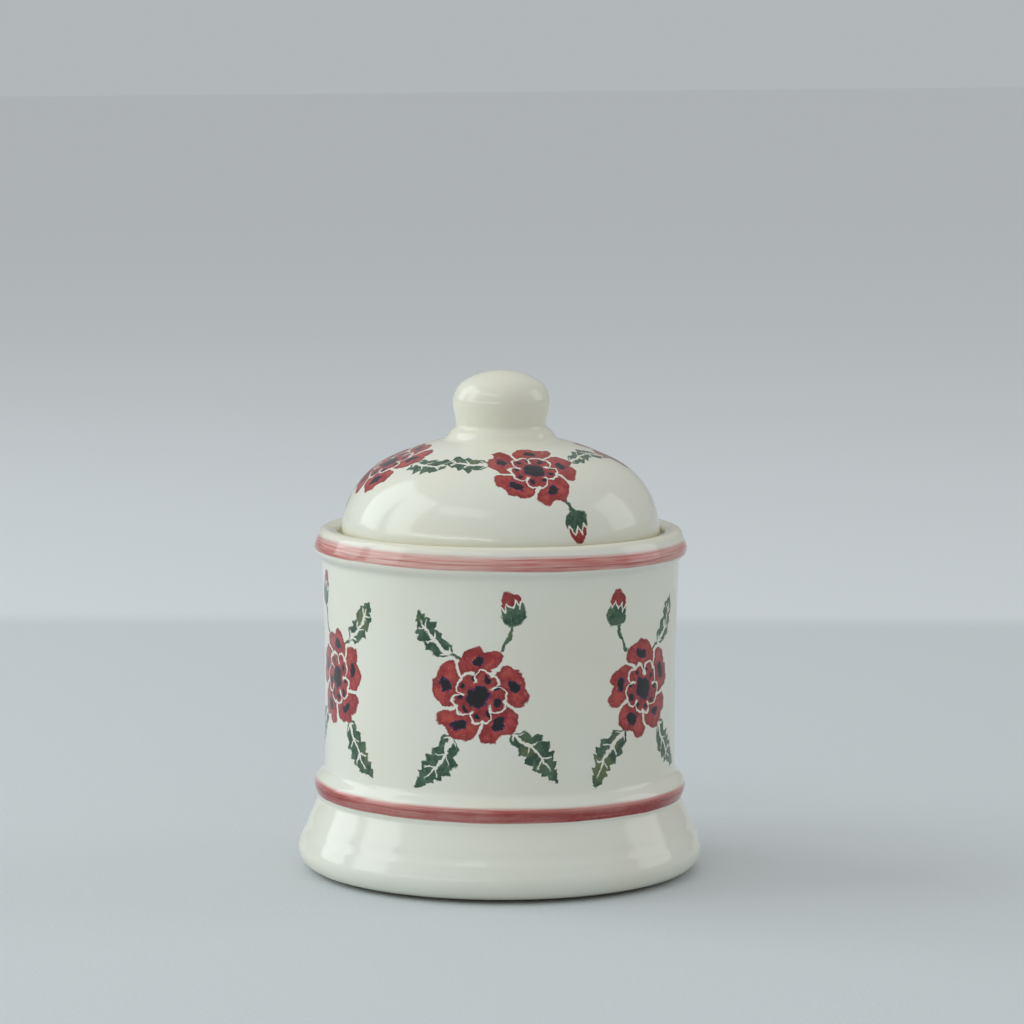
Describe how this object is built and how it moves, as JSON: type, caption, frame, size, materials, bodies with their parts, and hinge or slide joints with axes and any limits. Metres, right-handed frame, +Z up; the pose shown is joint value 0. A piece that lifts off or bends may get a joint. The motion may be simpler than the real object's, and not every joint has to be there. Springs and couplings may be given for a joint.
{
  "type": "jam pot",
  "caption": "Round glazed pot on a flared foot, with a beaded wall, a rolled rim and a domed lid with a knob and a notch for a spoon. It holds jam or other preserves.",
  "frame": {"origin": "centre of the foot, on the surface that the pot stands on", "axes": "+Z up along the axis of the pot; +X from the axis through the middle of the spoon notch in the lid; the part mirrors in its XZ plane"},
  "size_m": [0.095, 0.095, 0.1175],
  "materials": {
    "pot_glaze": "gloss cream glaze over hand-painted sprays and two red bands",
    "lid_glaze": "gloss cream glaze over hand-painted sprays"
  },
  "bodies": {
    "root": {"pot": "pot_glaze", "lid": "lid_glaze"}
  },
  "joints": []
}
